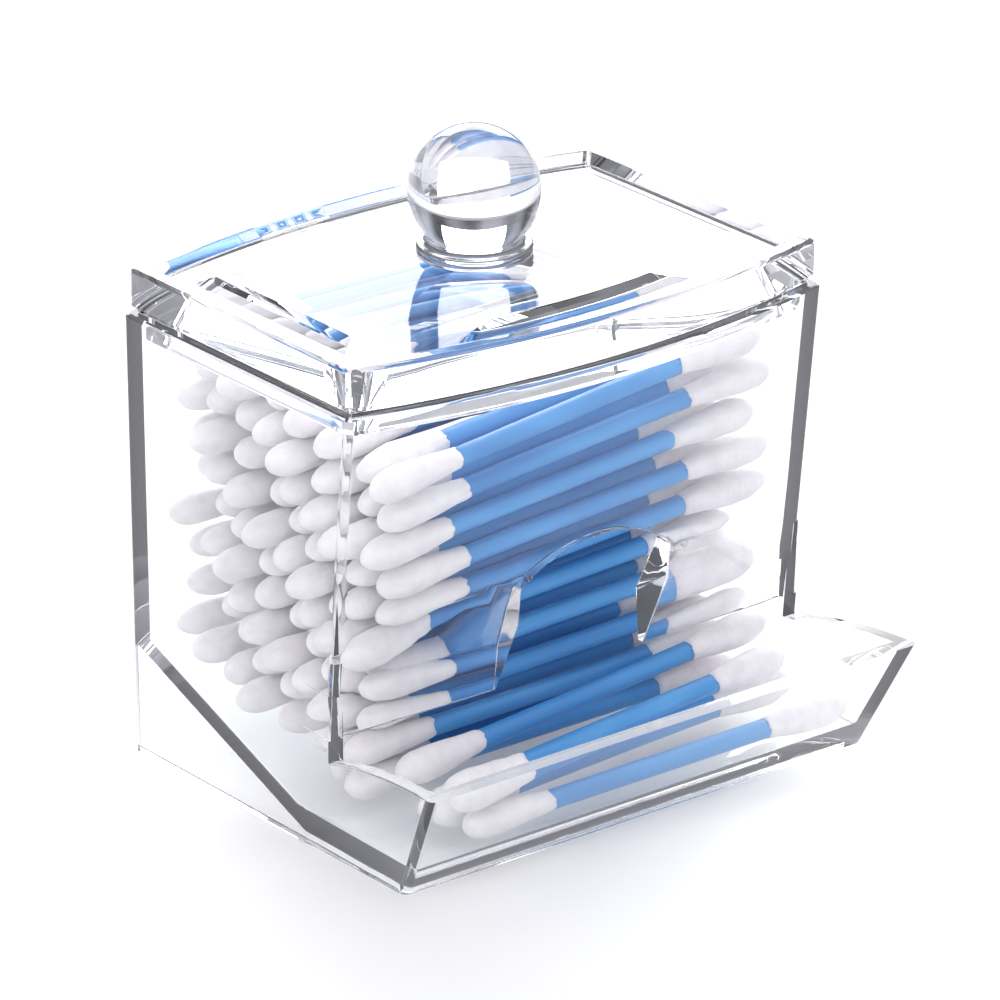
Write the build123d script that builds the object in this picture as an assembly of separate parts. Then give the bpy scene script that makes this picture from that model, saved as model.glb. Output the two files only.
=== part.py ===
from build123d import *
import math
import os

# Driving sizes of the box, in millimetres. The box frame has X along the front,
# Y towards the rear with zero at mid-depth of the rim corners, and Z up from the table.
box_width = 90.0
box_corner_depth = 55.4
box_height = 71.6
wall = 2.6
front_bow = 5.8
rear_bow = 5.8
side_draft = 0.3
rear_draft = 0.5
corner_radius = 1.2
rim_edge_radius = 0.5

# Front wall: it leans in to a knee, turns in below it and ends above the tray
knee_height = 31.5
knee_lean = 4.2
bead_top_height = 39.0
bead_height = 27.7
bead_set_in = 20.2
bead_bow = 1.2
lip_edge_height = 19.0
lip_edge_set_in = 22.4
lip_edge_bow = 0.8
lip_edge_thickness = 1.3
side_front_set_in = 21.6

# Finger notch in the front wall
notch_width = 28.4
notch_shoulder_height = 37.4
notch_crown_height = 43.0

# Sloping floor and tray
floor_thickness = 2.8
floor_slope_deg = 20.8
rear_floor_height = 16.6
tray_floor_height = 4.6
tray_underside_height = 0.9
tray_tuck_at_table = 0.7
tray_flare_at_lip = 1.8
tray_reach_at_table = 39.6
tray_reach_at_lip = 49.4
tray_height = 19.1
tray_flare_start = 14.0
cheek_height_at_wall = 15.4
cheek_crown = 1.1

# Lid
lid_inset = 0.65
lid_seat_inset = 1.5
lid_seat_height = 1.2
lid_flange_height = 6.0
lid_edge_radius = 0.5
lid_rim_width = 2.4
lid_channel_depth = 1.5
lid_channel_outer_run = 1.3
lid_channel_floor = 2.0
lid_channel_inner_run = 3.2
lid_panel_thickness = 3.0
lid_panel_corner_radius = 3.5
lid_plug_depth = 4.0
lid_plug_clearance = 0.4
lid_plug_thickness = 2.4
lid_hollow_run = 4.2

# Knob
knob_ball_diameter = 20.2
knob_collar_diameter = 17.7
knob_collar_height = 1.9
knob_collar_edge = 0.5
knob_collar_neck_diameter = 14.4
knob_ball_steps = 6

# Swabs
swab_end_play = 10.8
stick_diameter = 3.1
tip_diameter = 5.3
tip_length = 16.0
tip_blunt_share = 0.24
tip_end_share = 0.52
tip_neck_share = 0.66
swab_sides = 6

# Heap of swabs in the box: upright rows from the front wall to the rear wall
heap_rows = 8
row_gap = 0.12
seat_gap = 0.12
heap_top_gap = 3.2
heap_tilt_deg = 7.2
heap_end_gap = 0.7
heap_wall_gap = 0.15
tilt_shares = (1.0, 0.92, 0.72, 0.45, 0.2, -0.15, -0.3, -0.2)
row_top_shares = (1.0, 0.985, 1.0, 0.98, 0.995, 0.99, 1.0, 0.995)
slide_shares = (0.1, -0.5, 0.45, -0.25, 0.7, 0.0, 0.2, 0.55, -0.6, 0.3, -0.15)
sway_shares = (0.0, 0.9, -0.7, 0.4, -1.0, 0.6, -0.3)
turn_shares = (0.3, -0.9, 0.6, 1.0, -0.4)
sway_play_share = 0.4
turn_play_share = 0.35
level_stride = 3
row_stride = 2

# Swabs that slid out into the tray: slide along X, then for the left and right
# end a share of the tray's depth and a height counted in tip diameters
tray_swab_shares = (
    (0.95, (0.815, 0.0), (0.815, 0.0)),
    (0.75, (0.475, 0.0), (0.262, 0.0)),
    (0.3, (0.815, 1.04), (0.42, 0.9)),
    (0.35, (0.27, 0.96), (0.14, 1.6)),
)

overrun = 6.0

# Sizes worked out from the ones above
half_width = box_width / 2
rim_corner = box_corner_depth / 2
knee_corner = rim_corner - knee_lean
floor_slope = math.tan(math.radians(floor_slope_deg))
floor_rise = floor_thickness / math.cos(math.radians(floor_slope_deg))
lid_top = box_height + lid_seat_height + lid_flange_height
tray_wall_run = (tray_reach_at_lip - tray_reach_at_table) / tray_height
tip_radius = tip_diameter / 2
swab_length = box_width - 2 * wall - swab_end_play
frame_shift = (tray_reach_at_lip - rim_corner - rear_bow) / 2


def at_share(low, high, share):
    return low + (high - low) * share


def half_width_at(z):
    return half_width - side_draft * (1 - z / box_height)


def front_corner_at(z):
    return at_share(knee_corner, rim_corner, (z - knee_height) / (box_height - knee_height))


def rear_corner_at(z):
    return rim_corner - rear_draft * (1 - z / box_height)


def floor_underside(y):
    return rear_floor_height + floor_slope * (y - rear_corner_at(rear_floor_height))


def floor_top(y):
    return max(tray_floor_height, floor_underside(y) + floor_rise)


def bowed_edge(x_from, x_to, y, bow, z):
    start = Vector(x_from, y, z)
    end = Vector(x_to, y, z)
    if bow == 0:
        return Line(start, end)
    return ThreePointArc(start, Vector((x_from + x_to) / 2, y + bow, z), end)


def bowed_outline(z, half, front, bow, rear, radius=0.0):
    # Straight sides, a rear bowed outwards by an arc, and a front bowed by its own amount
    edges = [
        bowed_edge(-half, half, -front, -bow, z),
        Line(Vector(half, -front, z), Vector(half, rear, z)),
        bowed_edge(half, -half, rear, rear_bow, z),
        Line(Vector(-half, rear, z), Vector(-half, -front, z)),
    ]
    face = make_face(edges)
    if radius == 0:
        return face
    return fillet(face.vertices(), radius)


def box_outline(z, inset=0.0, radius=0.0):
    # The box's own section at height z, above the knee
    return bowed_outline(
        z,
        half_width_at(z) - inset,
        front_corner_at(z) - inset,
        front_bow,
        rear_corner_at(z) - inset,
        radius,
    )


def side_front_at(z):
    return at_share(side_front_set_in, knee_corner, z / knee_height)


def lower_outline(z, inset=0.0, front_overrun=0.0):
    # Between tray and knee the front is open, so its edge is straight
    half = half_width_at(z) - inset
    front = side_front_at(z) + front_overrun
    face = bowed_outline(z, half, front, 0, rear_corner_at(z) - inset)
    if inset > 0:
        return face
    return fillet(face.vertices().sort_by(Axis.Y)[-2:], corner_radius)


def side_profile(points, half):
    # A closed outline in Y and Z, extruded over the full width
    corners = [Vector(0, y, z) for y, z in points]
    face = make_face(Polyline(*corners, close=True))
    return extrude(face, half, dir=(1, 0, 0), both=True)


def base_outline(z, inset=0.0):
    # Box and tray in one: parallel sides that flare towards the straight lip
    share = z / tray_height
    front_half = half_width + at_share(-tray_tuck_at_table, tray_flare_at_lip, share) - inset
    half = half_width_at(z) - inset
    reach = at_share(tray_reach_at_table, tray_reach_at_lip, share)
    front = reach - inset * math.hypot(1, tray_wall_run)
    rear = rear_corner_at(z) - inset
    edges = [
        Polyline(
            Vector(-half, rear, z),
            Vector(-half, -tray_flare_start, z),
            Vector(-front_half, -front, z),
            Vector(front_half, -front, z),
            Vector(half, -tray_flare_start, z),
            Vector(half, rear, z),
        ),
        bowed_edge(half, -half, rear, rear_bow, z),
    ]
    face = make_face(edges)
    if inset > 0:
        return face
    by_depth = face.vertices().sort_by(Axis.Y)
    return fillet(by_depth[:2] + by_depth[-2:], corner_radius)


def above_cheeks():
    # Over the tray's sides, which rise from the box wall to the lip in a shallow crown
    wall_top = Vector(0, -side_front_at(cheek_height_at_wall), cheek_height_at_wall)
    lip_top = Vector(0, -tray_reach_at_lip, tray_height)
    mid = (wall_top + lip_top) / 2 + Vector(0, 0, cheek_crown)
    high = tray_height + overrun
    edges = [
        ThreePointArc(wall_top, mid, lip_top),
        Polyline(
            lip_top,
            Vector(0, -tray_reach_at_lip - overrun, tray_height),
            Vector(0, -tray_reach_at_lip - overrun, high),
            Vector(0, -side_front_at(high), high),
            wall_top,
        ),
    ]
    return extrude(make_face(edges), box_width, dir=(1, 0, 0), both=True)


def knee_outline_part(half):
    # The stretch of the knee's own arc between the points at -half and half
    full = half_width_at(knee_height)
    radius = (full**2 + front_bow**2) / (2 * front_bow)
    end_drop = radius - math.sqrt(radius**2 - half**2)
    return knee_corner + front_bow - end_drop, end_drop


def front_strip(z, front, outer_bow, back, inner_bow):
    # One section of the turned-in part of the front wall, sunk into the side walls
    half = half_width_at(z) - wall / 2
    edges = [
        bowed_edge(-half, half, -front, -outer_bow, z),
        Line(Vector(half, -front, z), Vector(half, -back, z)),
        bowed_edge(half, -half, -back, -inner_bow, z),
        Line(Vector(-half, -back, z), Vector(-half, -front, z)),
    ]
    return make_face(edges)


def front_bead():
    # Diamond section: out to the knee, in to the bead line, and down to a thin edge
    top_back = front_corner_at(bead_top_height) - wall
    knee_front, knee_bow = knee_outline_part(half_width_at(knee_height) - wall / 2)
    knee_share = (bead_top_height - knee_height) / (bead_top_height - bead_height)
    bead_share = (knee_height - bead_height) / (knee_height - lip_edge_height)
    sections = [
        front_strip(bead_top_height, top_back + wall / 2, front_bow, top_back, front_bow),
        front_strip(
            knee_height,
            knee_front,
            knee_bow,
            at_share(top_back, bead_set_in, knee_share),
            at_share(front_bow, bead_bow, knee_share),
        ),
        front_strip(
            bead_height,
            at_share(knee_front, lip_edge_set_in, bead_share),
            at_share(knee_bow, lip_edge_bow, bead_share),
            bead_set_in,
            bead_bow,
        ),
        front_strip(
            lip_edge_height,
            lip_edge_set_in,
            lip_edge_bow,
            lip_edge_set_in - lip_edge_thickness,
            lip_edge_bow,
        ),
    ]
    return loft(sections, ruled=True)


def finger_notch():
    # An arched opening cut up from the front wall's lower edge
    half = notch_width / 2
    low = lip_edge_height - overrun / 2
    edges = [
        Line(Vector(-half, 0, low), Vector(half, 0, low)),
        Line(Vector(half, 0, low), Vector(half, 0, notch_shoulder_height)),
        ThreePointArc(
            Vector(half, 0, notch_shoulder_height),
            Vector(0, 0, notch_crown_height),
            Vector(-half, 0, notch_shoulder_height),
        ),
        Line(Vector(-half, 0, notch_shoulder_height), Vector(-half, 0, low)),
    ]
    reach = rim_corner + front_bow + overrun
    near = bead_set_in - overrun / 2
    cutter = extrude(make_face(edges), reach - near, dir=(0, -1, 0))
    return Pos(0, -near, 0) * cutter


def above_floor():
    # The space over the floor: level in the tray, then sloping up to the rear
    rear = rim_corner + rear_bow + overrun
    front = -tray_reach_at_lip - overrun
    bend = (tray_floor_height - floor_rise - floor_underside(0)) / floor_slope
    high = box_height + overrun
    points = [
        (front, tray_floor_height),
        (bend, tray_floor_height),
        (rear, floor_underside(rear) + floor_rise),
        (rear, high),
        (front, high),
    ]
    return side_profile(points, box_width)


def below_floor():
    # The open space under the floor, which has no wall at the rear
    rear = rim_corner + rear_bow + overrun
    bend = (tray_underside_height - floor_underside(0)) / floor_slope
    front = wall - tray_reach_at_table
    points = [
        (front, -overrun),
        (front, tray_underside_height),
        (bend, tray_underside_height),
        (rear, floor_underside(rear)),
        (rear, -overrun),
    ]
    return side_profile(points, half_width_at(0) - wall)


def box_outside():
    base = loft([base_outline(0), base_outline(tray_height)], ruled=True)
    middle = loft([lower_outline(tray_height), lower_outline(knee_height)], ruled=True)
    upper = loft(
        [
            box_outline(knee_height, 0, corner_radius),
            box_outline(notch_crown_height + wall, 0, corner_radius),
            box_outline(box_height - rim_edge_radius, 0, corner_radius),
            box_outline(box_height, rim_edge_radius, corner_radius),
        ],
        ruled=True,
    )
    return base - above_cheeks() + middle + upper


def box_inside():
    # Everything inside the walls and above the floor
    base = loft(
        [base_outline(0, wall), base_outline(tray_height + overrun, wall)], ruled=True
    )
    middle = loft(
        [lower_outline(0, wall, overrun), lower_outline(knee_height, wall, overrun)],
        ruled=True,
    )
    upper = loft(
        [
            box_outline(knee_height, wall),
            box_outline(notch_crown_height + wall, wall),
            box_outline(box_height + overrun, wall),
        ],
        ruled=True,
    )
    return (base + middle + upper) & above_floor()


def build_box():
    shell = box_outside() - box_inside() - below_floor()
    return shell + front_bead() - finger_notch()


def lid_outline(z, inset, radius=0.0):
    return bowed_outline(
        z,
        half_width - inset,
        rim_corner - inset,
        front_bow,
        rim_corner - inset,
        radius,
    )


def lid_block(z_low, z_high, inset, radius):
    return extrude(lid_outline(z_low, inset, radius), z_high - z_low, dir=(0, 0, 1))


def lid_channel():
    # A shallow trough between the raised rim and the flat middle panel
    outer = lid_inset + lid_rim_width
    low = outer + lid_channel_outer_run
    inner_low = low + lid_channel_floor
    inner_high = inner_low + lid_channel_inner_run
    bottom = lid_top - lid_channel_depth
    dish = loft(
        [
            lid_outline(bottom, low, corner_radius),
            lid_outline(lid_top, outer, corner_radius),
            lid_outline(lid_top + overrun, outer, corner_radius),
        ],
        ruled=True,
    )
    panel = loft(
        [
            lid_outline(bottom - overrun, inner_low, lid_panel_corner_radius),
            lid_outline(bottom, inner_low, lid_panel_corner_radius),
            lid_outline(lid_top, inner_high, lid_panel_corner_radius),
        ],
        ruled=True,
    )
    return dish - panel


def lid_hollow():
    # The underside is open up to the panel, inside the plug that drops into the box
    mouth = wall + lid_plug_clearance + lid_plug_thickness
    low = box_height - lid_plug_depth
    ceiling = lid_top - lid_panel_thickness
    return loft(
        [
            lid_outline(low - overrun, mouth, lid_panel_corner_radius),
            lid_outline(low, mouth, lid_panel_corner_radius),
            lid_outline(ceiling, mouth + lid_hollow_run, lid_panel_corner_radius),
        ],
        ruled=True,
    )


def build_lid():
    flange_bottom = box_height + lid_seat_height
    flange = lid_block(flange_bottom, lid_top, lid_inset, corner_radius)
    top_edges = flange.edges().filter_by_position(Axis.Z, lid_top, lid_top)
    flange = chamfer(top_edges, lid_edge_radius)
    seat = lid_block(box_height, flange_bottom, lid_seat_inset, 0)
    plug_inset = wall + lid_plug_clearance
    plug = loft(
        [
            box_outline(box_height - lid_plug_depth, plug_inset),
            box_outline(box_height, plug_inset),
        ],
        ruled=True,
    )
    return flange + seat + plug - lid_channel() - lid_hollow()


def build_knob():
    # Ball on a low collar, turned in one piece; the ball's arc is stepped in short lengths
    ball_radius = knob_ball_diameter / 2
    centre = lid_top + ball_radius
    neck = knob_collar_neck_diameter / 2
    collar = knob_collar_diameter / 2
    collar_top = lid_top + knob_collar_height
    start = -math.acos(neck / ball_radius)
    outline = [
        Vector(0, 0, lid_top),
        Vector(collar - knob_collar_edge, 0, lid_top),
        Vector(collar, 0, lid_top + knob_collar_edge),
        Vector(collar, 0, collar_top - knob_collar_edge),
        Vector(collar - knob_collar_edge, 0, collar_top),
    ]
    for step in range(knob_ball_steps):
        turn = at_share(start, math.pi / 2, step / knob_ball_steps)
        radius = ball_radius * math.cos(turn)
        outline.append(Vector(radius, 0, centre + ball_radius * math.sin(turn)))
    outline.append(Vector(0, 0, centre + ball_radius))
    return revolve(make_face(Polyline(*outline, close=True)), Axis.Z)


def swab_section(x, diameter):
    # A six-sided section across the swab
    plane = Plane(origin=(x, 0, 0), x_dir=(0, 0, 1), z_dir=(1, 0, 0))
    return plane * RegularPolygon(diameter / 2, swab_sides)


def swab_stick():
    half = swab_length / 2 - tip_length
    return extrude(swab_section(-half, stick_diameter), 2 * half, dir=(1, 0, 0))


def swab_tip(side):
    # Wound cotton: fullest near the blunt end, with a long taper to the stick
    end = swab_length / 2
    sections = [
        swab_section(side * end, tip_diameter * tip_end_share),
        swab_section(side * (end - tip_length * tip_blunt_share), tip_diameter),
        swab_section(side * (end - tip_length), tip_diameter * tip_neck_share),
    ]
    corners = [Vector(corner) for section in sections for corner in section.vertices()]
    return ConvexPolyhedron(corners).clean()


def swab_place(x, y, z, tilt_deg, turn_deg):
    return Pos(x, y, z) * Rot(0, 0, turn_deg) * Rot(0, -tilt_deg, 0)


def bow_at_tips(bow):
    # What a bowed wall still stands out where the full part of the last tip ends
    inner_half = half_width - wall
    tip_end = inner_half - heap_end_gap - tip_length * tip_blunt_share
    return bow * (1 - (tip_end / inner_half) ** 2)


def heap_front_limit(z):
    # The farthest forward that a tip's centre line can lie in the heap
    level = max(z, bead_top_height)
    inner = front_corner_at(level) + bow_at_tips(front_bow) - wall
    if z < bead_top_height:
        share = max(0, (z - bead_height) / (bead_top_height - bead_height))
        inner = at_share(bead_set_in, inner, share)
    return tip_radius + heap_wall_gap - inner


def heap_rear_limit(z):
    return rear_corner_at(z) + bow_at_tips(rear_bow) - wall - tip_radius - heap_wall_gap


def heap_row_line(row, z):
    # Where a row's centre line lies at height z, and the free play on each side of it
    front = heap_front_limit(z)
    rear = heap_rear_limit(z)
    play = (rear - front - (heap_rows - 1) * tip_diameter) / (2 * heap_rows)
    return at_share(front + play, rear - play, row / (heap_rows - 1)), play


def varied(shares, level, row):
    # Takes the shares of a table in another order for each row
    return shares[(level * level_stride + row * row_stride) % len(shares)]


def heap_swab_places(row):
    # One upright row: the lowest swab lies flat on the floor and the next ones fan out,
    # so that one end of the top swab comes close under the lid
    reach = swab_length / 2
    side_slack = half_width - wall - reach - heap_end_gap
    top = (box_height - lid_plug_depth - heap_top_gap) * row_top_shares[row]
    level_pitch = tip_diameter + row_gap
    start_y, _ = heap_row_line(row, 0)
    slope_lift = tip_radius / math.cos(math.radians(floor_slope_deg))
    start_z = floor_top(start_y) + slope_lift + seat_gap
    wanted_rise = reach * math.sin(math.radians(heap_tilt_deg * abs(tilt_shares[row])))
    most = math.floor((top - start_z) / level_pitch)
    count = min(most, round((top - start_z - 2 * wanted_rise) / level_pitch))
    rise = (top - start_z - count * level_pitch) / 2
    tilt = math.copysign(math.degrees(math.asin(rise / reach)), tilt_shares[row])
    places = []
    for level in range(count + 1):
        fan = level / count
        z = start_z + level * level_pitch + rise * fan
        y, play = heap_row_line(row, z - rise * fan)
        sway = play * fan * sway_play_share * varied(sway_shares, level, row)
        end_sway = play * fan * turn_play_share * varied(turn_shares, level, row)
        turn = math.degrees(math.asin(end_sway / reach))
        slide = side_slack * varied(slide_shares, level, row)
        places.append(swab_place(slide, y + sway, z, tilt * fan, turn))
    return places


def tray_swab_place(slide_share, left, right):
    reach = swab_length / 2
    side_slack = half_width - wall - reach
    centre_reach = reach - tip_length / 2
    low = tray_floor_height + tip_radius + seat_gap
    heap_face = heap_front_limit(0) - tip_radius
    lip_face = wall * math.hypot(1, tray_wall_run) - tray_reach_at_table - tray_wall_run * low
    ends = []
    for depth_share, level in (left, right):
        y = at_share(heap_face, lip_face, depth_share)
        ends.append((y, low + level * tip_diameter))
    (left_y, left_z), (right_y, right_z) = ends
    span = 2 * centre_reach
    turn = math.degrees(math.asin((right_y - left_y) / span))
    tilt = math.degrees(math.asin((right_z - left_z) / span))
    x = side_slack * slide_share
    return swab_place(x, (left_y + right_y) / 2, (left_z + right_z) / 2, tilt, turn)


def export_node(name, shapes):
    placed = [Pos(0, frame_shift, 0) * shape for shape in shapes]
    node = placed[0] if len(placed) == 1 else Compound(children=placed)
    node.label = name
    export_step(node, f"parts/{name}.step")


def export_swabs(name, places):
    stick = swab_stick()
    tips = (swab_tip(-1), swab_tip(1))
    export_node(f"{name}_sticks", [place * stick for place in places])
    export_node(f"{name}_tips", [place * tip for place in places for tip in tips])


def main():
    os.makedirs("parts", exist_ok=True)
    export_node("box", [build_box()])
    export_node("lid", [build_lid()])
    export_node("knob", [build_knob()])
    for row in range(heap_rows):
        export_swabs(f"heap_row_{row + 1}", heap_swab_places(row))
    for number, (slide, left, right) in enumerate(tray_swab_shares, 1):
        export_swabs(f"tray_swab_{number}", [tray_swab_place(slide, left, right)])


main()
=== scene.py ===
import math
import random

import bmesh
import bpy
from mathutils import Matrix, Vector, noise


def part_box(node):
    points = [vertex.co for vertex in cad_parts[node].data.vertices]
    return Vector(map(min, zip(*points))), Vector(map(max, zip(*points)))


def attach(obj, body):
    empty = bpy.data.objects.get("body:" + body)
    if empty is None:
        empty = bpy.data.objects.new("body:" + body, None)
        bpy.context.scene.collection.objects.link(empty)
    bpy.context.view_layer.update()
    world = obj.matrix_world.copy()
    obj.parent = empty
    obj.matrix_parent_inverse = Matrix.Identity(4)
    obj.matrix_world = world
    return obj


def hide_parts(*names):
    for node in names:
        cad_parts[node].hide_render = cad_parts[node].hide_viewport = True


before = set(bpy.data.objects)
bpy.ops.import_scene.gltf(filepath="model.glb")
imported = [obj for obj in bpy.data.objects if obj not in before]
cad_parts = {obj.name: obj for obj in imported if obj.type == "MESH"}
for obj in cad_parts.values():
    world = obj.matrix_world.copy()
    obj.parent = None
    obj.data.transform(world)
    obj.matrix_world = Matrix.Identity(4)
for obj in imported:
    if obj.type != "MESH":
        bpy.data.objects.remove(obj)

# Plain lengths are in metres, and MM turns a size in millimetres into metres
MM = 0.001
SEED = 7

# Camera: fitted to the photo's corners of box, lid, tray and knob. Blender takes its lens
# and sensor in millimetres
CAMERA_AZIMUTH = math.radians(-38.38)
CAMERA_ELEVATION = math.radians(22.44)
CAMERA_DISTANCE = 1.1202
CAMERA_TARGET = Vector((3.0, 5.57, 38.66)) * MM
CAMERA_LENS = 265.45
CAMERA_SENSOR = 36
CAMERA_CLIP = 50 * MM

# Corners of the file's faces that lie closer than this are one corner
WELD_GAP = 0.001 * MM

# Moulded parts: faces within the flat angle are joined, edges past the sharp angle get
# the small round, and the shading runs smoothly over edges below the crease angle
EDGE_ROUND = 0.28 * MM
EDGE_STEPS = 2
FLAT_ANGLE = math.radians(0.3)
SHARP_ANGLE = math.radians(24)
CREASE_ANGLE = math.radians(50)
NARROW_FACE = 0.6 * MM

# Knob: the neck's radius and the base's height are shares of the ball's radius
BOND_LINE = 0.03 * MM
KNOB_SIDES = 128
KNOB_STEPS = 64
KNOB_NECK_SHARE = 0.72
KNOB_BASE_SHARE = 0.25
NECK_FLARE = 0.25 * MM
NECK_SINK = 0.05 * MM
COLLAR_ROUND = 0.45 * MM
COLLAR_STEPS = 6
AXIS_HOLE = 0.02 * MM

# The range that a noise's values mostly lie in
NOISE_LOW = 0.3
NOISE_HIGH = 0.7

# Clear plastic
# The glow is painted light: an even emission inside the clear plastic stands in for the light its
# walls carry along
PAINTED_GLOW_STRENGTH = 4.0
PAINTED_GLOW_COLOUR = (0.9, 0.91, 1.0, 1.0)
BOX_IOR = 1.32
LID_IOR = 1.5
BOX_TINT = (0.972, 0.98, 0.992)
LID_TINT = (0.83, 0.835, 0.855)
# The knob's grey tint is painted shade: it darkens the ball as the dim room seen in it would
KNOB_PAINTED_SHADE_TINT = (0.68, 0.685, 0.71)
WALL_WAVES = 0.05
KNOB_WAVES = 0.02
WAVE_HEIGHT = 0.1 * MM

# Swabs
STICK_SIDES = 20
STICK_RINGS = 13
STICK_SWAY = 0.16 * MM
STICK_IN_TIP = 2.5 * MM
TIP_SIDES = 30
TIP_FUZZ = 0.12 * MM
TIP_FUZZ_SIZE = 1.5 * MM
TIP_GIRTH_SHARES = (0.955, 1.01)
TIP_LEAN = 0.12 * MM
TIP_FULLNESS = 0.06
NECK_RAGGED = 0.55 * MM
NECK_TUFTS = 3.1
RAGGED_FROM = 0.8

# The fine fuzz is this much smaller and weaker than the coarse one
FINE_FUZZ_SHARE = 0.4

# The fuzz grows with a ring's width at this rate until it is full
FUZZ_RISE = 1.4

# Each tip takes its fuzz from a place of its own in a noise field this wide
NOISE_FIELD = 50

# The share of a stick's or tip's length that counts as its end
END_SHARE = 0.1

# Shares of a tip's length, from the blunt end, and of its radius
TIP_PROFILE = (
    (0.006, 0.2),
    (0.025, 0.4),
    (0.055, 0.58),
    (0.1, 0.75),
    (0.155, 0.88),
    (0.22, 0.965),
    (0.3, 1.0),
    (0.4, 0.995),
    (0.52, 0.945),
    (0.64, 0.87),
    (0.76, 0.785),
    (0.87, 0.71),
    (0.95, 0.67),
    (1.0, 0.635),
)

# Studio
FLOOR_HALF = 4.0
FLOOR_DROP = 0.15 * MM
AIM_HEIGHT = 40 * MM

# The room's brightness from the floor's height up to well above the camera
ROOM_STOPS = (
    (0.0, (0.2, 0.2, 0.23)),
    (0.3, (0.28, 0.28, 0.31)),
    (0.75, (0.42, 0.42, 0.44)),
)

# Dark and light patches in the room, drawn out from top to bottom
PATCH_STOPS = (
    (0.36, (0.14, 0.14, 0.15)),
    (0.6, (2.2, 2.2, 2.2)),
)
PATCH_SCALE = 3.2
PATCH_STRETCH = (1.0, 1.0, 0.25)

# Each light's name, place, width, height and brightness
LIGHTS = (
    ("overhead", (0.2, 0.1, 1.6), 1.6, 1.6, 1.1),
    ("back_panel", (0.95, 1.2, 0.72), 1.4, 0.95, 5.6),
    ("left_panel", (-1.5, -0.1, 0.7), 1.2, 1.0, 1.3),
    ("front_panel", (-0.3, -1.5, 0.6), 1.4, 0.9, 0.9),
)


def material(name):
    made = bpy.data.materials.new(name)
    made.use_nodes = True
    tree = made.node_tree
    return made, tree, tree.nodes["Principled BSDF"]


def object_place(tree):
    return tree.nodes.new("ShaderNodeTexCoord").outputs["Object"]


def noise_node(tree, scale, detail, place=None, stretch=None):
    place = place or object_place(tree)
    if stretch:
        mapping = tree.nodes.new("ShaderNodeMapping")
        mapping.inputs["Scale"].default_value = stretch
        tree.links.new(place, mapping.inputs["Vector"])
        place = mapping.outputs["Vector"]
    node = tree.nodes.new("ShaderNodeTexNoise")
    node.inputs["Scale"].default_value = scale
    node.inputs["Detail"].default_value = detail
    tree.links.new(place, node.inputs["Vector"])
    return node.outputs["Fac"]


def ramp(tree, value, low, high):
    # Spreads the values that a noise mostly takes over the range from low to high
    node = tree.nodes.new("ShaderNodeMapRange")
    node.inputs["From Min"].default_value = NOISE_LOW
    node.inputs["From Max"].default_value = NOISE_HIGH
    node.inputs["To Min"].default_value = low
    node.inputs["To Max"].default_value = high
    tree.links.new(value, node.inputs["Value"])
    return node.outputs["Result"]


def colours(tree, value, stops):
    node = tree.nodes.new("ShaderNodeValToRGB")
    band = node.color_ramp
    while len(band.elements) < len(stops):
        band.elements.new(0.5)
    for element, (at, colour) in zip(band.elements, stops):
        element.position = at
        element.color = (*colour, 1.0)
    tree.links.new(value, node.inputs["Fac"])
    return node.outputs["Color"]


def bump(tree, shader, heights):
    # Chains bumps of (height value, strength, distance in metres)
    normal = None
    for value, strength, distance in heights:
        node = tree.nodes.new("ShaderNodeBump")
        node.inputs["Strength"].default_value = strength
        node.inputs["Distance"].default_value = distance
        tree.links.new(value, node.inputs["Height"])
        if normal:
            tree.links.new(normal, node.inputs["Normal"])
        normal = node.outputs["Normal"]
    tree.links.new(normal, shader.inputs["Normal"])


def clear_plastic(name, tint, waviness, ior):
    # Polished moulded plastic: faint flow waves and a trace of cloudiness in its tint, which for the
    # knob is a painted grey shade, and a painted glow inside it, an even emission that stands in for
    # light carried along the walls and adds up where one looks along a wall
    made, tree, shader = material(name)
    shader.inputs["Transmission Weight"].default_value = 1.0
    shader.inputs["IOR"].default_value = ior
    shader.inputs["Roughness"].default_value = 0.0
    haze = noise_node(tree, 60, 2)
    flow = noise_node(tree, 45, 1)
    stops = [(0.42, tint), (0.85, (1.0, 1.0, 1.0))]
    tree.links.new(colours(tree, haze, stops), shader.inputs["Base Color"])
    bump(tree, shader, [(flow, waviness, WAVE_HEIGHT)])
    # Painted light: an emission inside the plastic, not a lamp, that brightens long paths along the
    # walls
    glow = tree.nodes.new("ShaderNodeEmission")
    glow.inputs["Color"].default_value = PAINTED_GLOW_COLOUR
    glow.inputs["Strength"].default_value = PAINTED_GLOW_STRENGTH
    tree.links.new(glow.outputs["Emission"], tree.nodes["Material Output"].inputs["Volume"])
    return made


def stick_plastic():
    # Blue extruded plastic with lengthwise die lines and a soft gloss
    made, tree, shader = material("blue_stick")
    shader.inputs["Specular IOR Level"].default_value = 0.45
    patches = noise_node(tree, 130, 2, stretch=(0.25, 1.0, 1.0))
    lines = noise_node(tree, 1500, 1, stretch=(0.03, 1.0, 1.0))
    grain = noise_node(tree, 2600, 1)
    stops = [
        (0.3, (0.06, 0.25, 0.6)),
        (0.55, (0.085, 0.33, 0.72)),
        (0.8, (0.13, 0.43, 0.82)),
    ]
    tree.links.new(colours(tree, patches, stops), shader.inputs["Base Color"])
    tree.links.new(ramp(tree, grain, 0.3, 0.46), shader.inputs["Roughness"])
    bump(tree, shader, [(lines, 0.14, 0.05 * MM), (grain, 0.05, 0.02 * MM)])
    return made


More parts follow.
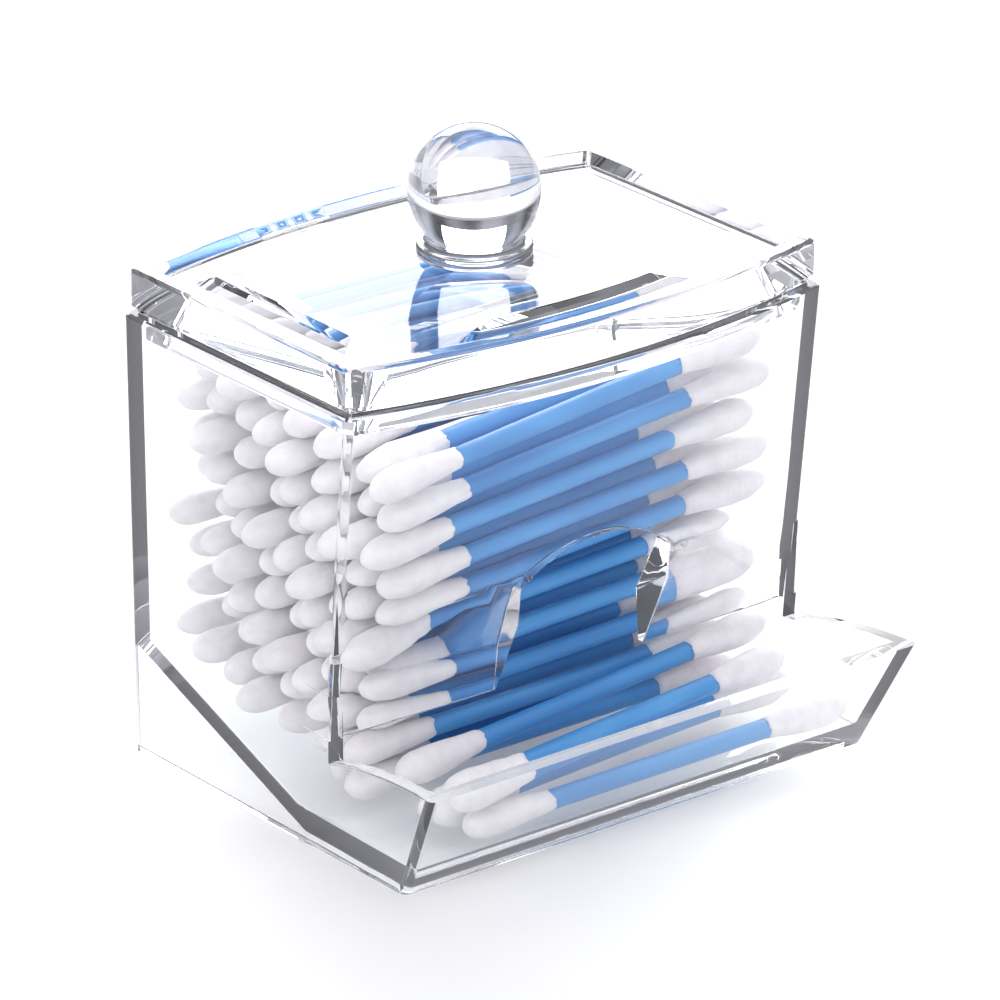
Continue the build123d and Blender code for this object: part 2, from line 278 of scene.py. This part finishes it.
def cotton():
    # Wound cotton: a matt, faintly pink white with windings and loose fibres
    made, tree, shader = material("cotton")
    shader.inputs["Specular IOR Level"].default_value = 0.12
    shader.inputs["Sheen Weight"].default_value = 0.35
    shader.inputs["Sheen Roughness"].default_value = 0.6
    shade = noise_node(tree, 420, 2)
    windings = noise_node(tree, 1700, 2, stretch=(1.0, 0.3, 0.3))
    fibres = noise_node(tree, 5200, 1, stretch=(0.5, 1.0, 1.0))
    stops = [
        (0.3, (0.87, 0.83, 0.86)),
        (0.5, (0.915, 0.89, 0.91)),
        (0.75, (0.95, 0.935, 0.945)),
    ]
    tree.links.new(colours(tree, shade, stops), shader.inputs["Base Color"])
    tree.links.new(ramp(tree, fibres, 0.82, 1.0), shader.inputs["Roughness"])
    heights = [(shade, 0.5, 0.2 * MM), (windings, 0.7, 0.1 * MM), (fibres, 0.5, 0.05 * MM)]
    bump(tree, shader, heights)
    return made


def floor_paint():
    made, tree, shader = material("floor")
    soft = noise_node(tree, 3, 2)
    grain = noise_node(tree, 400, 3)
    stops = [(0.3, (0.975, 0.975, 0.98)), (0.7, (0.99, 0.99, 0.99))]
    tree.links.new(colours(tree, soft, stops), shader.inputs["Base Color"])
    tree.links.new(ramp(tree, grain, 0.7, 0.85), shader.inputs["Roughness"])
    shader.inputs["Specular IOR Level"].default_value = 0.2
    return made


def add_object(name, mesh, slot, surface, body, *nodes):
    obj = bpy.data.objects.new(name, mesh)
    bpy.context.collection.objects.link(obj)
    mesh.materials.clear()
    mesh.materials.append(surface)
    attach(obj, body)
    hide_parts(*nodes)
    return obj


def cast_no_shadow(obj):
    # The renderer would give clear plastic a dark shadow
    obj.visible_shadow = False


def merged(node):
    # The node's mesh with the corners joined that the file stores once per face
    work = bmesh.new()
    work.from_mesh(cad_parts[node].data)
    bmesh.ops.remove_doubles(work, verts=work.verts, dist=WELD_GAP)
    return work


def islands(work):
    # The corner points of each separate solid in a mesh
    seen = set()
    groups = []
    for first in work.verts:
        if first in seen:
            continue
        seen.add(first)
        stack = [first]
        group = []
        while stack:
            vert = stack.pop()
            group.append(vert.co.copy())
            for edge in vert.link_edges:
                other = edge.other_vert(vert)
                if other not in seen:
                    seen.add(other)
                    stack.append(other)
        groups.append(group)
    return groups


def solids_of(node):
    work = merged(node)
    groups = islands(work)
    work.free()
    return groups


def end_centres(points):
    # The middles of the two end faces of a long prism, left one first
    low = min(points, key=lambda p: p.x)
    high = max(points, key=lambda p: p.x)
    way = (high - low).normalized()
    along = [(p - low).dot(way) for p in points]
    reach = max(along)
    near = [p for p, at in zip(points, along) if at < reach * END_SHARE]
    far = [p for p, at in zip(points, along) if at > reach * (1 - END_SHARE)]
    return sum(near, Vector()) / len(near), sum(far, Vector()) / len(far)


def radius_round(points, start, way):
    # How far the points reach from the axis that runs from start along way
    return max(((p - start) - way * (p - start).dot(way)).length for p in points)


def across(way):
    # Two directions at right angles to a swab's axis
    side = way.cross(Vector((0, 0, 1))).normalized()
    return side, side.cross(way)


def skin(work, rings):
    # Joins closed rings of points into a tube with both ends closed
    rows = [[work.verts.new(p) for p in ring] for ring in rings]
    count = len(rows[0])
    for lower, upper in zip(rows, rows[1:]):
        for i in range(count):
            j = (i + 1) % count
            work.faces.new((lower[i], lower[j], upper[j], upper[i]))
    work.faces.new(reversed(rows[0]))
    work.faces.new(rows[-1])


def finished_mesh(work, name):
    bmesh.ops.recalc_face_normals(work, faces=work.faces)
    mesh = bpy.data.meshes.new(name)
    work.to_mesh(mesh)
    work.free()
    mesh.shade_smooth()
    return mesh


def stick_rings(start, end, radius, chance):
    # A round stick that is bent a hair by the load on it
    way = (end - start).normalized()
    side, up = across(way)
    start = start - way * STICK_IN_TIP
    end = end + way * STICK_IN_TIP
    bend_side = chance.uniform(-1, 1) * STICK_SWAY
    bend_up = chance.uniform(-1, 1) * STICK_SWAY
    rings = []
    for step in range(STICK_RINGS):
        at = step / (STICK_RINGS - 1)
        arch = math.sin(math.pi * at)
        centre = start.lerp(end, at) + side * bend_side * arch + up * bend_up * arch
        ring = []
        for k in range(STICK_SIDES):
            turn = 2 * math.pi * k / STICK_SIDES
            ring.append(centre + (side * math.cos(turn) + up * math.sin(turn)) * radius)
        rings.append(ring)
    return rings


def tip_rings(blunt, neck, radius, chance):
    # A wound cotton tip: pear-shaped, a little uneven, with a ragged edge at the stick
    length = (neck - blunt).length
    way = (neck - blunt).normalized()
    side, up = across(way)
    girth = radius * chance.uniform(*TIP_GIRTH_SHARES)
    fullness = chance.uniform(-TIP_FULLNESS, TIP_FULLNESS)
    lean = side * chance.uniform(-1, 1) * TIP_LEAN + up * chance.uniform(-1, 1) * TIP_LEAN
    place = Vector([chance.uniform(0, NOISE_FIELD) for axis in range(3)])
    rings = []
    for at, wide in TIP_PROFILE:
        taper_at = at + fullness * math.sin(math.pi * at)
        ring = []
        for k in range(TIP_SIDES):
            turn = 2 * math.pi * k / TIP_SIDES
            out = side * math.cos(turn) + up * math.sin(turn)
            spot = out * radius + way * length * at
            lump = noise.noise(place + spot / TIP_FUZZ_SIZE)
            fine = noise.noise(place * 2 + spot / (FINE_FUZZ_SHARE * TIP_FUZZ_SIZE))
            swell = (lump + FINE_FUZZ_SHARE * fine) * TIP_FUZZ * min(1.0, wide * FUZZ_RISE)
            ragged = 0.0
            if at > RAGGED_FROM:
                frayed = (at - RAGGED_FROM) / (1 - RAGGED_FROM)
                ragged = noise.noise(place + out * NECK_TUFTS) * NECK_RAGGED * frayed
            centre = blunt + way * (length * taper_at + ragged) + lean * math.sin(math.pi * at)
            ring.append(centre + out * (girth * wide + swell))
        rings.append(ring)
    return rings


def tip_ends(points, sticks):
    # Blunt end, neck and radius of a tip, told apart by which end lies at its stick
    left, right = end_centres(points)
    ends = [end for stick in sticks for end in stick]
    to_left = min((end - left).length for end in ends)
    to_right = min((end - right).length for end in ends)
    blunt, neck = (right, left) if to_left < to_right else (left, right)
    return blunt, neck, radius_round(points, blunt, (neck - blunt).normalized())


def dress_swabs(name, body, surfaces, chance):
    # Round sticks and wound tips in place of a group's plain ones, from the lowest up
    stick_node, tip_node = f"{name}_sticks", f"{name}_tips"
    stick_points = sorted(solids_of(stick_node), key=lambda group: sum(p.z for p in group))
    tip_points = sorted(solids_of(tip_node), key=lambda group: (sum(p.z for p in group), group[0].x))
    sticks = [end_centres(group) for group in stick_points]
    made = bmesh.new()
    for group, (start, end) in zip(stick_points, sticks):
        radius = radius_round(group, start, (end - start).normalized())
        skin(made, stick_rings(start, end, radius, chance))
    mesh = finished_mesh(made, f"{name}_sticks_round")
    add_object(f"{name}_sticks_round", mesh, "blue_stick", surfaces["stick"], body, stick_node)
    made = bmesh.new()
    for group in tip_points:
        skin(made, tip_rings(*tip_ends(group, sticks), chance))
    mesh = finished_mesh(made, f"{name}_tips_wound")
    add_object(f"{name}_tips_wound", mesh, "cotton", surfaces["cotton"], body, tip_node)


def face_width(face):
    return face.calc_area() / max(edge.calc_length() for edge in face.edges)


def rounded_edges(work):
    # The sharp edges between faces that are wide enough to take the small round
    found = []
    for edge in work.edges:
        if len(edge.link_faces) != 2 or edge.calc_face_angle(0) < SHARP_ANGLE:
            continue
        if min(face_width(face) for face in edge.link_faces) > NARROW_FACE:
            found.append(edge)
    return found


def soft_fan(loop):
    # The faces round one corner point that join smoothly on to the loop's own face. The
    # list grows while it is walked, and its order is the same in each run
    found = [loop.face]
    for face in found:
        for edge in loop.vert.link_edges:
            if face not in edge.link_faces or edge.calc_face_angle(0) > CREASE_ANGLE:
                continue
            for other in edge.link_faces:
                if other not in found:
                    found.append(other)
    return found


def set_soft_normals(work, mesh):
    # Wide faces rule the shading at each corner, so that walls stay flat and only the
    # rounds between them turn the light
    areas = {face: face.calc_area() for face in work.faces}
    normals = []
    for face in work.faces:
        for loop in face.loops:
            total = Vector()
            for other in soft_fan(loop):
                total += other.normal * areas[other] ** 2
            normals.append(total.normalized() if total.length > 0 else face.normal)
    mesh.normals_split_custom_set(normals)


def polish(node, body, slot, surface):
    # The moulding as it leaves a polished mould: every sharp edge has a small round
    work = merged(node)
    bmesh.ops.dissolve_limit(work, angle_limit=FLAT_ANGLE, verts=work.verts, edges=work.edges)
    work.normal_update()
    bmesh.ops.bevel(
        work,
        geom=rounded_edges(work),
        offset=EDGE_ROUND,
        offset_type="OFFSET",
        segments=EDGE_STEPS,
        profile=0.5,
        affect="EDGES",
        clamp_overlap=False,
        miter_outer="ARC",
    )
    work.normal_update()
    mesh = bpy.data.meshes.new(f"{node}_polished")
    work.to_mesh(mesh)
    mesh.shade_smooth()
    set_soft_normals(work, mesh)
    work.free()
    obj = add_object(f"{node}_polished", mesh, slot, surface, body, node)
    cast_no_shadow(obj)


def lathe(profile, centre):
    work = bmesh.new()
    rings = []
    for radius, z in profile:
        ring = []
        for k in range(KNOB_SIDES):
            turn = 2 * math.pi * k / KNOB_SIDES
            ring.append(Vector((radius * math.cos(turn), radius * math.sin(turn), z)) + centre)
        rings.append(ring)
    skin(work, rings)
    return work


def collar_profile(foot, top, collar):
    # Radius and height round the collar's rounded edge, from its foot to its top
    radius = collar - COLLAR_ROUND
    profile = []
    for step in range(COLLAR_STEPS + 1):
        turn = math.pi / 2 * step / COLLAR_STEPS
        height = foot + COLLAR_ROUND - COLLAR_ROUND * math.cos(turn)
        profile.append((radius + COLLAR_ROUND * math.sin(turn), height))
    for step in range(COLLAR_STEPS + 1):
        turn = math.pi / 2 * step / COLLAR_STEPS
        height = top - COLLAR_ROUND + COLLAR_ROUND * math.sin(turn)
        profile.append((radius + COLLAR_ROUND * math.cos(turn), height))
    return profile


def turn_knob(body, surface):
    # A true ball on its collar, with the collar's edges rounded over
    low, high = (Vector(corner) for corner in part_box("knob"))
    ball = (high.z - low.z) / 2
    centre = Vector(((low.x + high.x) / 2, (low.y + high.y) / 2, 0))
    middle = low.z + ball
    points = [v.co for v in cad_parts["knob"].data.vertices]
    base_top = low.z + KNOB_BASE_SHARE * ball
    base = [(math.hypot(p.x - centre.x, p.y - centre.y), p.z) for p in points if p.z < base_top]
    collar = max(radius for radius, z in base)
    collar_top = max(z for radius, z in base if radius > collar - 2 * COLLAR_ROUND)
    profile = collar_profile(low.z + BOND_LINE, collar_top, collar)
    neck = KNOB_NECK_SHARE * ball
    start = -math.acos(KNOB_NECK_SHARE)
    profile.append((neck + NECK_FLARE, collar_top - NECK_SINK))
    for step in range(KNOB_STEPS):
        turn = start + (math.pi / 2 - start) * step / KNOB_STEPS
        profile.append((ball * math.cos(turn), middle + ball * math.sin(turn)))
    profile = [(radius, z) for radius, z in profile if radius > AXIS_HOLE]
    mesh = finished_mesh(lathe(profile, centre), "knob_turned")
    obj = add_object("knob_turned", mesh, "clear_knob", surface, body, "knob")
    cast_no_shadow(obj)


def add_camera():
    back = Vector((
        math.sin(CAMERA_AZIMUTH) * math.cos(CAMERA_ELEVATION),
        -math.cos(CAMERA_AZIMUTH) * math.cos(CAMERA_ELEVATION),
        math.sin(CAMERA_ELEVATION),
    ))
    data = bpy.data.cameras.new("camera")
    data.lens = CAMERA_LENS
    data.sensor_width = CAMERA_SENSOR
    data.clip_start = CAMERA_CLIP
    camera = bpy.data.objects.new("camera", data)
    camera.matrix_world = Matrix.Translation(CAMERA_TARGET + back * CAMERA_DISTANCE) @ (
        back.to_track_quat("Z", "Y").to_matrix().to_4x4()
    )
    bpy.context.collection.objects.link(camera)
    bpy.context.scene.camera = camera


def add_light(name, place, width, height, radiance):
    # A soft panel that faces the object, given by its brightness
    data = bpy.data.lights.new(name, "AREA")
    data.shape = "RECTANGLE"
    data.size = width
    data.size_y = height
    data.energy = radiance * math.pi * width * height
    light = bpy.data.objects.new(name, data)
    place = Vector(place)
    aim = (place - Vector((0, 0, AIM_HEIGHT))).to_track_quat("Z", "Y")
    light.matrix_world = Matrix.Translation(place) @ aim.to_matrix().to_4x4()
    bpy.context.collection.objects.link(light)


def add_floor():
    mesh = bpy.data.meshes.new("floor")
    signs = ((-1, -1), (1, -1), (1, 1), (-1, 1))
    corners = [(x * FLOOR_HALF, y * FLOOR_HALF, -FLOOR_DROP) for x, y in signs]
    mesh.from_pydata(corners, [], [(0, 1, 2, 3)])
    mesh.materials.append(floor_paint())
    floor = bpy.data.objects.new("floor", mesh)
    bpy.context.collection.objects.link(floor)


def add_room():
    # A dim room, lighter towards its top, with soft dark and light patches like the flags
    # and openings of a studio
    world = bpy.data.worlds.new("studio")
    world.use_nodes = True
    tree = world.node_tree
    background = tree.nodes["Background"]
    place = tree.nodes.new("ShaderNodeTexCoord").outputs["Generated"]
    split = tree.nodes.new("ShaderNodeSeparateXYZ")
    tree.links.new(place, split.inputs["Vector"])
    height = split.outputs["Z"]
    patches = noise_node(tree, PATCH_SCALE, 0.0, place=place, stretch=PATCH_STRETCH)
    mixed = tree.nodes.new("ShaderNodeMix")
    mixed.data_type = "RGBA"
    mixed.blend_type = "MULTIPLY"
    mixed.inputs["Factor"].default_value = 1.0
    tree.links.new(colours(tree, height, ROOM_STOPS), mixed.inputs["A"])
    tree.links.new(colours(tree, patches, PATCH_STOPS), mixed.inputs["B"])
    tree.links.new(mixed.outputs["Result"], background.inputs["Color"])
    background.inputs["Strength"].default_value = 1.0
    bpy.context.scene.world = world


def main():
    bpy.context.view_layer.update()
    chance = random.Random(SEED)
    box_body, lid_body = "box_body", "lid_body"
    box_clear = clear_plastic("clear_plastic_box", BOX_TINT, WALL_WAVES, BOX_IOR)
    lid_clear = clear_plastic("clear_plastic_lid", LID_TINT, WALL_WAVES, LID_IOR)
    knob_clear = clear_plastic("clear_knob", KNOB_PAINTED_SHADE_TINT, KNOB_WAVES, LID_IOR)
    surfaces = {"stick": stick_plastic(), "cotton": cotton()}
    polish("box", box_body, "clear_plastic", box_clear)
    polish("lid", lid_body, "clear_plastic", lid_clear)
    turn_knob(lid_body, knob_clear)
    stick_nodes = [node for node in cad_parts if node.endswith("_sticks")]
    for node in sorted(stick_nodes):
        dress_swabs(node.removesuffix("_sticks"), box_body, surfaces, chance)
    add_floor()
    add_room()
    for light in LIGHTS:
        add_light(*light)
    add_camera()
    bpy.context.scene.view_settings.view_transform = "Standard"


main()
